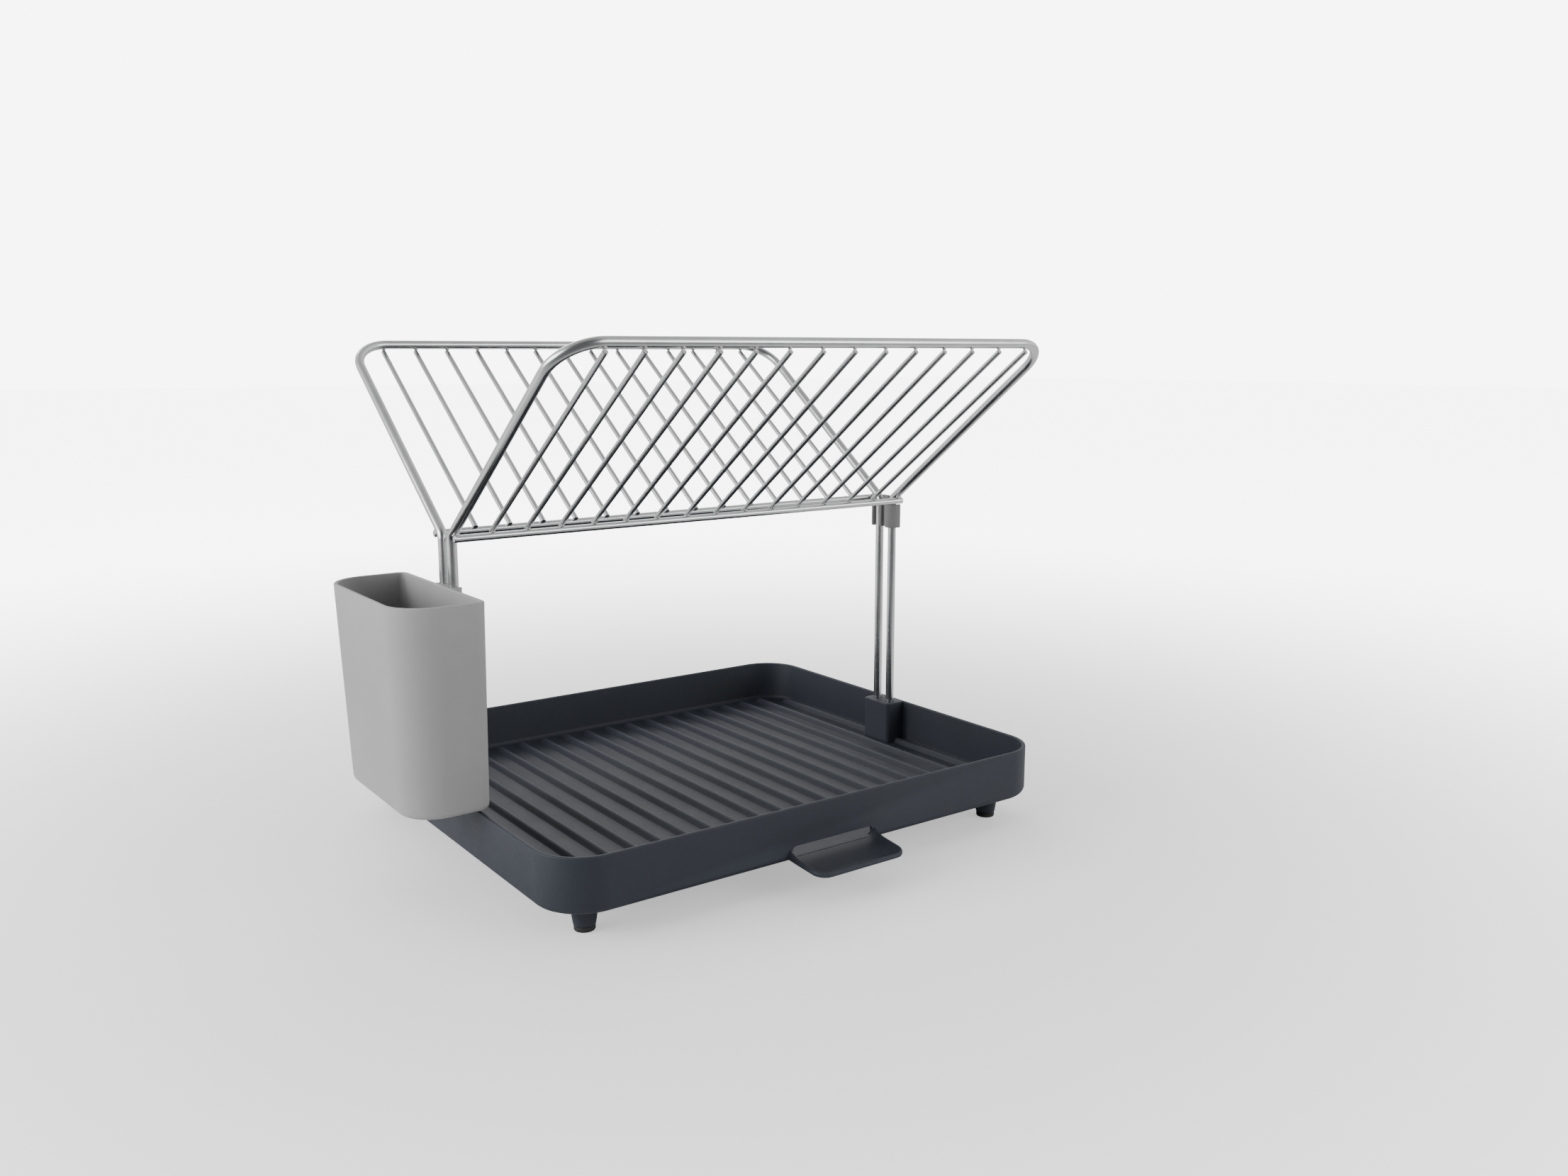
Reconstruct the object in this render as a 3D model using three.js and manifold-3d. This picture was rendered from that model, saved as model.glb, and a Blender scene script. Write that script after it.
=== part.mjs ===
// A two-tier dish drying rack: two steel wings clipped together into a Y stand in a ribbed drip tray,
// which drains through a spout in its front wall, and a cutlery holder snaps onto the legs at the left.
// Millimetres, +Z up, +X along the tray's long side, and -Y towards the spout.
import * as THREE from "three";
import { mergeVertices } from "three/addons/utils/BufferGeometryUtils.js";
import Module from "manifold-3d";

const wasm = await Module();
wasm.setup();

// ---- Driving dimensions ----

const trayLength = 360;
const trayWidth = 310;
const trayWallHeight = 33;
const trayWall = 2.6;
const trayFloor = 2.6;
const trayCornerRadius = 30;
const trayEdgeRadius = 5;
const tableClearance = 18; // from the table up to the tray's underside

const ridgePitch = 18;
const ridgeWidth = 6;
const ridgeHeight = 3.6;
const ridgeMargin = 6; // floor left flat behind the ridges' rear ends
const gutter = 24; // floor left flat along the front wall, for water to reach the spout

const footInsetX = 27.6; // from the tray's end wall to a foot's axis
const footInsetY = 26.3; // from the tray's long wall to a foot's axis
const footTopRadius = 8.8;
const footTipRadius = 6.4;
const padRadius = 6.1;
const padThickness = 3;
const padStemRadius = 2.6;
const padStemLength = 5;
const padEdgeRadius = 0.8;

const spoutHalfWidth = 33;
const spoutReach = 30.6; // from the tray's front wall to the spout's tip
const spoutLip = 2.6; // width of the rim around the spout's channel
const spoutFloor = 2; // under the channel
const spoutCornerRadius = 9;
const channelFall = 1.8; // of the channel's floor, from the tray's wall to the tip
const lipRise = 2.8; // above the channel's floor, at the tray's wall
const lipFall = 3.4; // of the rim, from the tray's wall to the tip
const mouthHeight = 6.7; // from the tray's floor up to the top of the drain opening

const barRadius = 3;
const railRadius = 2.25;
const wireRadius = 1.6;
const wireCount = 14; // on each wing
const wireInset = 23.1; // from a leg's axis to the nearest wire's
const barInset = 10; // from the tray's end to the axis of a leg
const legHalfGap = 7; // from the rack's middle plane to the axis of a leg
const junctionHeight = 204.8; // above the table, where a leg's axis meets its slanting arm's axis
const topRailHeight = 316.2; // above the table
const topRailSpread = 156.2; // from the rack's middle plane to a top rail's axis
const junctionBendRadius = 7;
const shoulderBendRadius = 25;
const bottomRailRun = 6.4; // along the arm, from the junction to the bottom rail
const bottomRailOverhang = 2; // beyond the leg's axis at each end
const wireOverhang = 1.6; // of a wire's lower end, back along the arm past the bottom rail's axis
const wireSetback = 1.2; // of a wire's upper end, back along the arm from under the top rail's axis

const socketLength = 18; // along X, from the tray's end
const socketHalfWidth = 14;
const socketCornerRadius = 3;
const socketFloor = 2.4; // left under a leg, above the tray's own floor

const clipHeight = 17.3;
const clipWall = 2.2;
const clipLap = 3.9; // how far each sleeve of the clip reaches past its leg's axis
const clipCrotchRise = 6.2; // of the clip's middle web, above its two sleeves
const clipWebRadius = 0.8;
const bracketCornerRadius = 0.8;

const holderWidth = 127.8; // along Y, at the rim
const holderDepth = 51.6; // along X, at the rim
const holderHeight = 122.9;
const holderWall = 2.4;
const holderOuterCorner = 24;
const holderInnerCorner = 6;
const holderEdgeRadius = 4.5;
const holderDepthDraft = 4.1; // lost between the rim and the bottom, on the outer wall only
const holderWidthDraft = 5.3; // lost between the rim and the bottom, on each side wall
const bracketHeight = 25;
const bracketReach = 6.4; // from the holder's inner wall to the open ends of the bracket's channels

const seatGap = 0.3; // between pieces that touch, press or weld together
const standOff = 1; // between the holder's bottom and the tray's rim

// ---- Positions that follow from them ----

const trayRim = tableClearance + trayWallHeight;
const floorTop = tableClearance + trayFloor;
const legX = trayLength / 2 - barInset;
const legBottom = floorTop + socketFloor + seatGap;
const wirePitch = (2 * (legX - wireInset)) / (wireCount - 1);

// Directions in a wing's own plane, as (outwards from the middle plane, upwards).
const junction = new THREE.Vector2(legHalfGap, junctionHeight);
const topRail = new THREE.Vector2(topRailSpread, topRailHeight);
const alongArm = topRail.clone().sub(junction).normalize();
const underArm = new THREE.Vector2(alongArm.y, -alongArm.x);
const bottomRail = junction
  .clone()
  .addScaledVector(alongArm, bottomRailRun)
  .addScaledVector(underArm, barRadius + railRadius + seatGap);
const wireFoot = bottomRail
  .clone()
  .addScaledVector(underArm, -(railRadius + wireRadius + seatGap))
  .addScaledVector(alongArm, -wireOverhang);
const wireHead = topRail
  .clone()
  .addScaledVector(underArm, barRadius + wireRadius + seatGap)
  .addScaledVector(alongArm, -wireSetback);

// ---- Materials ----

const satinSteel = { color: 0xcfd1d3, roughness: 0.28, metalness: 1 };
const slatePlastic = { color: 0x383d45, roughness: 0.62, metalness: 0 };
const greyPlastic = { color: 0xa9a9a9, roughness: 0.6, metalness: 0 };
const clipPlastic = { color: 0x7d7f81, roughness: 0.6, metalness: 0 };
const blackRubber = { color: 0x141516, roughness: 0.85, metalness: 0 };

function piece(name, geometry, finish) {
  const mesh = new THREE.Mesh(geometry, new THREE.MeshStandardMaterial(finish));
  mesh.name = name;
  return mesh;
}

// ---- Solids ----

const arcSteps = 7;

// A closed geometry as a solid that can be cut and joined.
function solidOf(geometry) {
  const bare = geometry.clone();
  bare.deleteAttribute("normal");
  bare.deleteAttribute("uv");
  const merged = mergeVertices(bare, 1e-4);
  return new wasm.Manifold(
    new wasm.Mesh({
      numProp: 3,
      vertProperties: merged.attributes.position.array,
      triVerts: new Uint32Array(merged.index.array),
    }),
  );
}

function geometryOf(solid) {
  const mesh = solid.getMesh();
  const indexed = new THREE.BufferGeometry();
  indexed.setAttribute("position", new THREE.BufferAttribute(mesh.vertProperties, 3));
  indexed.setIndex(new THREE.BufferAttribute(mesh.triVerts, 1));
  const faceted = indexed.toNonIndexed();
  faceted.computeVertexNormals();
  return faceted;
}

function box(x0, x1, y0, y1, z0, z1) {
  const geometry = new THREE.BoxGeometry(x1 - x0, y1 - y0, z1 - z0);
  return solidOf(geometry.translate((x0 + x1) / 2, (y0 + y1) / 2, (z0 + z1) / 2));
}

// A rounded rectangle in the XY plane, with its own radius at the low-X and at the high-X corners.
function roundedOutline(x0, x1, y0, y1, lowRadius, highRadius = lowRadius) {
  const outline = new THREE.Shape();
  outline.absarc(x1 - highRadius, y0 + highRadius, highRadius, -Math.PI / 2, 0);
  outline.absarc(x1 - highRadius, y1 - highRadius, highRadius, 0, Math.PI / 2);
  outline.absarc(x0 + lowRadius, y1 - lowRadius, lowRadius, Math.PI / 2, Math.PI);
  outline.absarc(x0 + lowRadius, y0 + lowRadius, lowRadius, Math.PI, Math.PI * 1.5);
  outline.closePath();
  return outline;
}

// An outline raised from z0 to z1, square at both ends.
function prism(outline, z0, z1) {
  const settings = { depth: z1 - z0, bevelEnabled: false, curveSegments: arcSteps };
  return new THREE.ExtrudeGeometry(outline, settings).translate(0, 0, z0);
}

// The same with its lower edge rounded: the rounding at the upper end is made above z1 and cut away.
function roundBottomed(outline, z0, z1, radius) {
  const settings = {
    depth: z1 - z0,
    bevelThickness: radius,
    bevelSize: radius,
    bevelOffset: -radius,
    bevelSegments: 3,
    curveSegments: arcSteps,
  };
  return new THREE.ExtrudeGeometry(outline, settings).translate(0, 0, z0 + radius);
}

// ---- Drip tray ----

function trayShell() {
  const halfLength = trayLength / 2;
  const halfWidth = trayWidth / 2;
  const outer = roundedOutline(-halfLength, halfLength, -halfWidth, halfWidth, trayCornerRadius);
  const inner = roundedOutline(
    -halfLength + trayWall,
    halfLength - trayWall,
    -halfWidth + trayWall,
    halfWidth - trayWall,
    trayCornerRadius - trayWall,
  );
  const block = solidOf(roundBottomed(outer, tableClearance, trayRim, trayEdgeRadius));
  const aboveRim = box(-trayLength, trayLength, -trayWidth, trayWidth, trayRim, 2 * trayRim);
  const hollowRadius = trayEdgeRadius - trayWall;
  const hollow = solidOf(roundBottomed(inner, floorTop, trayRim + trayWall, hollowRadius));
  return block.subtract(aboveRim).subtract(hollow);
}

// One low rounded ridge along Y, sunk a little into the floor so that the two join.
function ridge(x) {
  const hump = new THREE.Shape();
  hump.moveTo(-ridgeWidth / 2, -trayFloor / 2);
  hump.lineTo(ridgeWidth / 2, -trayFloor / 2);
  hump.lineTo(ridgeWidth / 2, 0);
  hump.absellipse(0, 0, ridgeWidth / 2, ridgeHeight, 0, Math.PI);
  hump.closePath();
  const rearEnd = trayWidth / 2 - trayWall - ridgeMargin;
  const run = trayWidth - 2 * trayWall - ridgeMargin - gutter;
  const settings = { depth: run, bevelEnabled: false, curveSegments: arcSteps };
  const bar = new THREE.ExtrudeGeometry(hump, settings);
  return solidOf(bar.rotateX(Math.PI / 2).translate(x, rearEnd, floorTop));
}

// The part of the floor that the ridges keep to, with corners that follow the tray's own.
function ridgeArea() {
  const halfLength = trayLength / 2 - trayWall;
  const front = -trayWidth / 2 + trayWall + gutter;
  const rear = trayWidth / 2 - trayWall - ridgeMargin;
  const outline = roundedOutline(-halfLength, halfLength, front, rear, trayCornerRadius - trayWall);
  return solidOf(prism(outline, tableClearance, trayRim));
}

// The block at the middle of an end wall that the two legs of that end stand in.
function legSocket(side) {
  const outerX = trayLength / 2 - trayWall / 2;
  const innerX = trayLength / 2 - socketLength;
  const half = socketHalfWidth;
  const outline = roundedOutline(innerX, outerX, -half, half, socketCornerRadius, trayWall / 2);
  const block = prism(outline, floorTop - trayFloor / 2, trayRim);
  return solidOf(side > 0 ? block : block.rotateZ(Math.PI));
}

function legHole(side, row) {
  const depth = trayRim - floorTop - socketFloor;
  const hole = new THREE.CylinderGeometry(barRadius + seatGap, barRadius + seatGap, 2 * depth, 16);
  return solidOf(hole.rotateX(Math.PI / 2).translate(side * legX, row * legHalfGap, trayRim));
}

function trayFoot(x, y) {
  const tip = padThickness + seatGap;
  const top = tableClearance + trayFloor / 2;
  const height = top - tip;
  const cone = new THREE.CylinderGeometry(footTopRadius, footTipRadius, height, 24);
  const stemHole = new THREE.CylinderGeometry(
    padStemRadius + seatGap,
    padStemRadius + seatGap,
    2 * (padStemLength + seatGap),
    16,
  );
  const foot = solidOf(cone.rotateX(Math.PI / 2).translate(x, y, tip + height / 2));
  return foot.subtract(solidOf(stemHole.rotateX(Math.PI / 2).translate(x, y, tip)));
}

// The spout's plate, or the channel in it: a prism whose underside and top each fall towards the tip.
function spoutPart(margin, underside, undersideFall, top, topFall) {
  const front = -trayWidth / 2;
  const halfWidth = spoutHalfWidth - margin;
  const tip = front - spoutReach + margin;
  const radius = spoutCornerRadius - margin;
  const plate = prism(roundedOutline(-halfWidth, halfWidth, tip, front + trayWall, radius), 0, 1);
  const position = plate.attributes.position;
  for (let i = 0; i < position.count; i += 1) {
    const share = (front - position.getY(i)) / spoutReach;
    const low = underside - undersideFall * share;
    const high = top - topFall * share;
    position.setZ(i, low + (high - low) * position.getZ(i));
  }
  return solidOf(plate);
}

function dripTray() {
  let tray = trayShell();
  const halfRun = trayLength / 2 - trayWall - ridgeWidth / 2;
  const ridgeCount = 2 * Math.floor(halfRun / ridgePitch + 0.5);
  for (let i = 0; i < ridgeCount; i += 1) {
    tray = tray.add(ridge((i - (ridgeCount - 1) / 2) * ridgePitch).intersect(ridgeArea()));
  }
  for (const side of [-1, 1]) {
    tray = tray.add(legSocket(side));
    tray = tray.subtract(legHole(side, -1)).subtract(legHole(side, 1));
  }
  for (const [x, y] of footPlaces()) {
    tray = tray.add(trayFoot(x, y));
  }
  const front = -trayWidth / 2;
  const mouthHalf = spoutHalfWidth - spoutLip;
  const back = front + 2 * trayWall;
  const mouth = box(-mouthHalf, mouthHalf, front - 1, back, floorTop, floorTop + mouthHeight);
  tray = tray.add(spoutPart(0, floorTop - spoutFloor, channelFall, floorTop + lipRise, lipFall));
  tray = tray.subtract(spoutPart(spoutLip, floorTop, channelFall, floorTop + mouthHeight, 0));
  tray = tray.subtract(mouth);
  return piece("drip_tray", geometryOf(tray), slatePlastic);
}

function footPlaces() {
  const x = trayLength / 2 - footInsetX;
  const y = trayWidth / 2 - footInsetY;
  return [
    [-x, -y],
    [x, -y],
    [x, y],
    [-x, y],
  ];
}

// A rubber pad with the stem that presses into its foot.
function footPads() {
  const profile = [
    new THREE.Vector2(0, 0),
    new THREE.Vector2(padRadius - padEdgeRadius, 0),
    new THREE.Vector2(padRadius, padEdgeRadius),
    new THREE.Vector2(padRadius, padThickness),
    new THREE.Vector2(padStemRadius, padThickness),
    new THREE.Vector2(padStemRadius, padThickness + padStemLength),
    new THREE.Vector2(0, padThickness + padStemLength),
  ];
  const names = ["front_left", "front_right", "rear_right", "rear_left"];
  return footPlaces().map(([x, y], i) => {
    const pad = new THREE.LatheGeometry(profile, 20).rotateX(Math.PI / 2);
    const mesh = piece("foot_pad_" + names[i], pad, blackRubber);
    mesh.position.set(x, y, 0);
    return mesh;
  });
}

// ---- Wings ----

// A rod's centre line through chosen stations, so that each step of the sweep falls on one of them.
class RodLine extends THREE.Curve {
  constructor(stations) {
    super();
    this.stations = stations;
  }
  blend(t, key, target) {
    const place = t * (this.stations.length - 1);
    const first = Math.min(Math.floor(place), this.stations.length - 2);
    const from = this.stations[first][key];
    return target.copy(from).lerp(this.stations[first + 1][key], place - first);
  }
  getPoint(t, target = new THREE.Vector3()) {
    return this.blend(t, "point", target);
  }
  getPointAt(t, target) {
    return this.getPoint(t, target);
  }
  getTangentAt(t, target = new THREE.Vector3()) {
    return this.blend(t, "tangent", target).normalize();
  }
}

// Stations along a line through the corners, each inner corner rounded to its radius.
function bentStations(corners, radii, stepDegrees) {
  const stations = [];
  const last = corners.length - 1;
  corners.forEach((corner, i) => {
    const incoming = corner.clone().sub(corners[Math.max(i - 1, 0)]).normalize();
    const outgoing = corners[Math.min(i + 1, last)].clone().sub(corner).normalize();
    if (i === 0 || i === last) {
      stations.push({ point: corner, tangent: i === 0 ? outgoing : incoming });
      return;
    }
    const turn = incoming.angleTo(outgoing);
    const radius = radii[i - 1];
    const start = corner.clone().addScaledVector(incoming, -radius * Math.tan(turn / 2));
    const axis = incoming.clone().cross(outgoing).normalize();
    const centre = start.clone().addScaledVector(axis.clone().cross(incoming), radius);
    const steps = Math.ceil(THREE.MathUtils.radToDeg(turn) / stepDegrees);
    for (let k = 0; k <= steps; k += 1) {
      const angle = (turn * k) / steps;
      const point = start.clone().sub(centre).applyAxisAngle(axis, angle).add(centre);
      stations.push({ point, tangent: incoming.clone().applyAxisAngle(axis, angle) });
    }
  });
  return stations;
}

// The thick rod of a wing: leg, arm, top rail, arm and leg in one bent length.
function wingBar(name) {
  const corners = [
    new THREE.Vector3(-legX, -legHalfGap, legBottom),
    new THREE.Vector3(-legX, -junction.x, junction.y),
    new THREE.Vector3(-legX, -topRail.x, topRail.y),
    new THREE.Vector3(legX, -topRail.x, topRail.y),
    new THREE.Vector3(legX, -junction.x, junction.y),
    new THREE.Vector3(legX, -legHalfGap, legBottom),
  ];
  const radii = [junctionBendRadius, shoulderBendRadius, shoulderBendRadius, junctionBendRadius];
  const stations = bentStations(corners, radii, 13);
  const section = new THREE.Shape();
  section.absarc(0, 0, barRadius, 0, 2 * Math.PI);
  const geometry = new THREE.ExtrudeGeometry(section, {
    steps: stations.length - 1,
    extrudePath: new RodLine(stations),
    curveSegments: 14,
  });
  return piece(name, geometry, satinSteel);
}

function straightRod(name, from, to, radius, sides) {
  const length = from.distanceTo(to);
  const rod = piece(name, new THREE.CylinderGeometry(radius, radius, length, sides), satinSteel);
  rod.position.copy(from).lerp(to, 0.5);
  rod.quaternion.setFromUnitVectors(new THREE.Vector3(0, 1, 0), to.clone().sub(from).normalize());
  return rod;
}

// One wing, drawn as the front one. The rear one is the same wing turned half round.
function wing(label) {
  const group = new THREE.Group();
  group.add(wingBar(label + "_wing_bar"));
  const railEnd = legX + bottomRailOverhang;
  const railFrom = new THREE.Vector3(-railEnd, -bottomRail.x, bottomRail.y);
  const railTo = new THREE.Vector3(railEnd, -bottomRail.x, bottomRail.y);
  group.add(straightRod(label + "_bottom_rail", railFrom, railTo, railRadius, 16));
  for (let i = 0; i < wireCount; i += 1) {
    const x = (i - (wireCount - 1) / 2) * wirePitch;
    const foot = new THREE.Vector3(x, -wireFoot.x, wireFoot.y);
    const head = new THREE.Vector3(x, -wireHead.x, wireHead.y);
    const number = String(i + 1).padStart(2, "0");
    group.add(straightRod(label + "_wire_" + number, foot, head, wireRadius, 12));
  }
  return group;
}

// ---- Leg clip ----

// A channel open towards +X, rounded about (x, y) on its closed side.
function channelOutline(x, y, radius, openEnd) {
  const channel = new THREE.Shape();
  channel.absarc(x, y, radius, Math.PI / 2, Math.PI * 1.5);
  channel.lineTo(openEnd, y - radius);
  channel.lineTo(openEnd, y + radius);
  channel.closePath();
  return channel;
}

// The clip's sleeve for the front leg, drawn around the legs' own axes.
function clipSleeve() {
  const bore = barRadius + seatGap;
  const body = prism(channelOutline(0, -legHalfGap, bore + clipWall, clipLap), 0, clipHeight);
  const channel = channelOutline(0, -legHalfGap, bore, 2 * clipLap);
  return solidOf(body).subtract(solidOf(prism(channel, -clipHeight, 2 * clipHeight)));
}

// Two sleeves that open to opposite sides, joined by a web that rises between the wings.
function legClip() {
  const webHalf = legHalfGap - barRadius - seatGap;
  const web = roundedOutline(-clipWall / 2, clipWall / 2, -webHalf, webHalf, clipWebRadius);
  const turned = clipSleeve().rotate([0, 0, 180]);
  const upright = solidOf(prism(web, 0, clipHeight + clipCrotchRise));
  const mesh = piece("leg_clip", geometryOf(clipSleeve().add(turned).add(upright)), clipPlastic);
  const turn = Math.PI / 2 - alongArm.angle();
  const straightTop = junctionHeight - junctionBendRadius * Math.tan(turn / 2);
  const clipTop = Math.min(straightTop, bottomRail.y - railRadius) - seatGap;
  mesh.position.set(legX, 0, clipTop - clipHeight);
  return mesh;
}

// ---- Cutlery holder ----

// Draws the outer and side walls in towards the bottom, about the inner wall.
function drafted(geometry, innerX, bottom, top) {
  const position = geometry.attributes.position;
  for (let i = 0; i < position.count; i += 1) {
    const drop = (top - position.getZ(i)) / (top - bottom);
    const narrow = 1 - (drop * 2 * holderWidthDraft) / holderWidth;
    const shallow = 1 - (drop * holderDepthDraft) / holderDepth;
    position.setX(i, innerX + (position.getX(i) - innerX) * shallow);
    position.setY(i, position.getY(i) * narrow);
  }
  return geometry;
}

function cutleryHolder() {
  const innerX = -legX - barRadius - seatGap;
  const bottom = trayRim + standOff;
  const top = bottom + holderHeight;
  const half = holderWidth / 2;
  const outerX = innerX - holderDepth;
  const outside = roundedOutline(outerX, innerX, -half, half, holderOuterCorner, holderInnerCorner);
  const inside = roundedOutline(
    outerX + holderWall,
    innerX - holderWall,
    -half + holderWall,
    half - holderWall,
    holderOuterCorner - holderWall,
    holderInnerCorner - holderWall,
  );
  const body = roundBottomed(outside, bottom, top, holderEdgeRadius);
  const hollow = roundBottomed(inside, bottom + holderWall, top, holderEdgeRadius - holderWall);
  const aboveRim = box(2 * outerX, 0, -holderWidth, holderWidth, top, 2 * top);
  const cup = solidOf(drafted(body, innerX, bottom, top))
    .subtract(solidOf(drafted(hollow, innerX, bottom, top)))
    .subtract(aboveRim);
  return piece("cutlery_holder", geometryOf(withLegBracket(cup, innerX, top)), greyPlastic);
}

// Adds the block on the holder's inner wall, with its pair of open channels that snap over the two left legs.
function withLegBracket(cup, backX, top) {
  const channelHalf = barRadius + seatGap;
  const half = legHalfGap + channelHalf + clipWall;
  const tipX = backX + bracketReach;
  const outline = roundedOutline(backX - holderWall / 2, tipX, -half, half, bracketCornerRadius);
  let holder = cup.add(solidOf(prism(outline, top - bracketHeight, top)));
  for (const row of [-1, 1]) {
    const channel = channelOutline(-legX, row * legHalfGap, channelHalf, 0);
    holder = holder.subtract(solidOf(prism(channel, 0, 2 * top)));
  }
  return holder;
}

// ---- Assembly ----

const rack = new THREE.Group();
rack.add(dripTray(), ...footPads());
const rearWing = wing("rear");
rearWing.rotation.z = Math.PI;
rack.add(wing("front"), rearWing, legClip(), cutleryHolder());

// The origin is on the table, at the centre of the whole rack's footprint.
const extent = new THREE.Box3().setFromObject(rack);
const centre = extent.getCenter(new THREE.Vector3());
rack.position.set(-centre.x, -centre.y, -extent.min.z);
const dishRack = new THREE.Group();
dishRack.add(rack);

export default dishRack;
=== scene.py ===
"""A two-tier dish drying rack: two steel wings clipped into a Y over a ribbed tray, with a cutlery holder."""

import math

import bmesh
import bpy
from mathutils import Matrix, Vector


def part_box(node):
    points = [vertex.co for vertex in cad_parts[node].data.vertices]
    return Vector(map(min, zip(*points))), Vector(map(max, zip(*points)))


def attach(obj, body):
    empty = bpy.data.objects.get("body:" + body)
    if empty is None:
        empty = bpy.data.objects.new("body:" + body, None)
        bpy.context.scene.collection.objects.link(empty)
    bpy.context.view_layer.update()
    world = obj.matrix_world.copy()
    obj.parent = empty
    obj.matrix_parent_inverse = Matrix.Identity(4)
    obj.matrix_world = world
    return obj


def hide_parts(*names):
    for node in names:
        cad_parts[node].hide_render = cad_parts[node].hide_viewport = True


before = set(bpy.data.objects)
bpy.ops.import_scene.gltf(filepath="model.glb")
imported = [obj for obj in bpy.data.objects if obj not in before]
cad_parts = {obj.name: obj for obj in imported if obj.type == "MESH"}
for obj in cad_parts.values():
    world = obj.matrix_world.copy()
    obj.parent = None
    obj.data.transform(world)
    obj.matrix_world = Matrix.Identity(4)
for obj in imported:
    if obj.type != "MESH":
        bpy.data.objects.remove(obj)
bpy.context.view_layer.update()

MM = 0.001

# ---- Sizes, in metres, about the middle of the tray ----

SEAT_GAP = 0.3 * MM

TRAY_HALF_LENGTH = 180 * MM
TRAY_HALF_WIDTH = 155 * MM
TRAY_WALL = 2.6 * MM
TRAY_CORNER = 30 * MM
TRAY_UNDERSIDE = 18 * MM
FLOOR_TOP = 20.6 * MM
RIM_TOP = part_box("drip_tray")[1].z
RIDGE_COUNT = 20
RIDGE_PITCH = 18 * MM
RIDGE_HEIGHT = 3.6 * MM
RIDGE_HALF_WIDTH = 3.4 * MM
RIDGE_TAPER = 7 * MM
RIDGE_MARGIN = 6 * MM
GUTTER = 24 * MM
FOOT_PLACE = Vector((152.4 * MM, 128.7 * MM))
FOOT_TIP = 3.3 * MM
SOCKET_INNER = 162 * MM
SOCKET_OUTER = 178.6 * MM
SOCKET_HALF_WIDTH = 14 * MM
SOCKET_CORNER = 3 * MM
SOCKET_FLOOR = 2.4 * MM
SPOUT_HALF = 33 * MM
SPOUT_REACH = 30.6 * MM
SPOUT_CORNER = 9 * MM
MOUTH_HALF = 30.4 * MM
MOUTH_TOP = 27.3 * MM
MOUTH_CORNER = 3 * MM

BAR_RADIUS = 3 * MM
RAIL_RADIUS = 2.25 * MM
WIRE_RADIUS = 1.6 * MM
LEG_X = 170 * MM
LEG_Y = 7 * MM
WIRE_COUNT = 14
WIRE_PITCH = 22.6 * MM
JUNCTION_HEIGHT = 204.8 * MM
JUNCTION_BEND = 7 * MM
SHOULDER_BEND = 25 * MM

CLIP_WALL = 2.2 * MM
CLIP_LAP = 3.9 * MM
CLIP_SLEEVE_HEIGHT = 17.3 * MM
CLIP_WEB_HALF = 3.65 * MM
CLIP_WEB_CORNER = 0.8 * MM
CLIP_WEB_CROWN = 0.75 * MM

HOLDER_WALL = 2.4 * MM
HOLDER_OUTER_CORNER = 24 * MM
HOLDER_INNER_CORNER = 6 * MM
HOLDER_SIDE_DRAFT = 5.3 * MM
HOLDER_DEPTH_DRAFT = 4.1 * MM
BRACKET_HEIGHT = 25 * MM
BRACKET_WALL = 2.2 * MM
BRACKET_CORNER = 1 * MM

tray_low, tray_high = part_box("drip_tray")
CENTRE = Vector(((tray_low.x + tray_high.x) / 2, tray_high.y - TRAY_HALF_WIDTH, 0))


def local_box(node):
    """A CAD node's box about the middle of the tray."""
    low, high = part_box(node)
    return low - CENTRE, high - CENTRE


# ---- Node trees ----


def new_material(name):
    """An empty node material: its tree, its Principled shader and a maker of wired nodes."""
    material = bpy.data.materials.new(name)
    material.use_nodes = True
    tree = material.node_tree
    shader = tree.nodes["Principled BSDF"]

    def node(kind, **inputs):
        made = tree.nodes.new(kind)
        for key, value in inputs.items():
            socket = made.inputs[key.replace("_", " ")]
            if isinstance(value, bpy.types.NodeSocket):
                tree.links.new(value, socket)
            else:
                socket.default_value = value
        return made

    return material, tree, shader, node


def ramp(node, factor, stops):
    """A colour ramp from factor, with (position, colour) stops."""
    made = node("ShaderNodeValToRGB", Fac=factor)
    elements = made.color_ramp.elements
    while len(elements) < len(stops):
        elements.new(0.5)
    for element, (position, colour) in zip(elements, stops):
        element.position = position
        element.color = (*colour, 1)
    return made.outputs["Color"]


def between(node, factor, low, high):
    """The factor, from 0 to 1, mapped to low to high."""
    made = node("ShaderNodeMapRange", Value=factor)
    made.inputs["To Min"].default_value = low
    made.inputs["To Max"].default_value = high
    return made.outputs["Result"]


def combined(tree, operation, first, second):
    """Two values added or multiplied."""
    made = tree.nodes.new("ShaderNodeMath")
    made.operation = operation
    tree.links.new(first, made.inputs[0])
    tree.links.new(second, made.inputs[1])
    return made.outputs["Value"]


def towards_tint(tree, factor, base, tint):
    """The base colour, moved to a plain tint by the factor."""
    made = tree.nodes.new("ShaderNodeMix")
    made.data_type = "RGBA"
    tree.links.new(factor, made.inputs["Factor"])
    tree.links.new(base, made.inputs["A"])
    made.inputs["B"].default_value = (*tint, 1)
    return made.outputs["Result"]


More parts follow.
